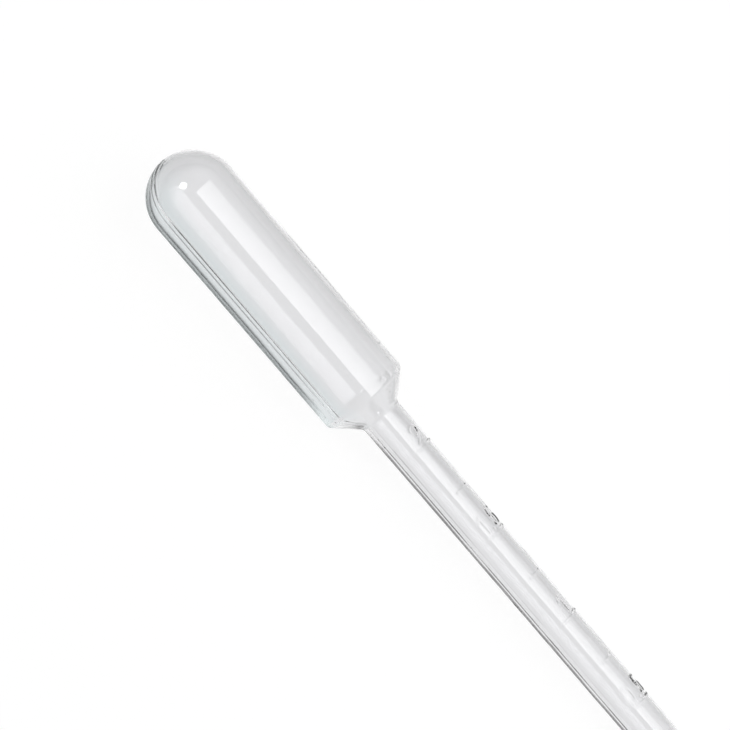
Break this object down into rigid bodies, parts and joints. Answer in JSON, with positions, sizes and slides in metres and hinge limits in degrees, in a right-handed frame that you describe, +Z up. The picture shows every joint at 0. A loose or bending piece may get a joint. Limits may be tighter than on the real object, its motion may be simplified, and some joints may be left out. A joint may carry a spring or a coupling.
{
  "type": "plastic dropper pipette",
  "caption": "One-piece blow-moulded plastic dropper pipette: a squeeze bulb with a round crown, a conical shoulder, a straight stem with a raised volume scale and a slim open nozzle",
  "frame": {"origin": "on the surface that the pipette lies on, under the middle of its bounding box", "axes": "+X along the pipette towards its tip, +Z up, +Y the side that the scale is turned to"},
  "size_m": [0.155, 0.015, 0.0171],
  "materials": {
    "natural_polyethylene": "as moulded, glossy, clear to slightly milky"
  },
  "bodies": {
    "root": {"pipette": "natural_polyethylene"}
  },
  "joints": []
}
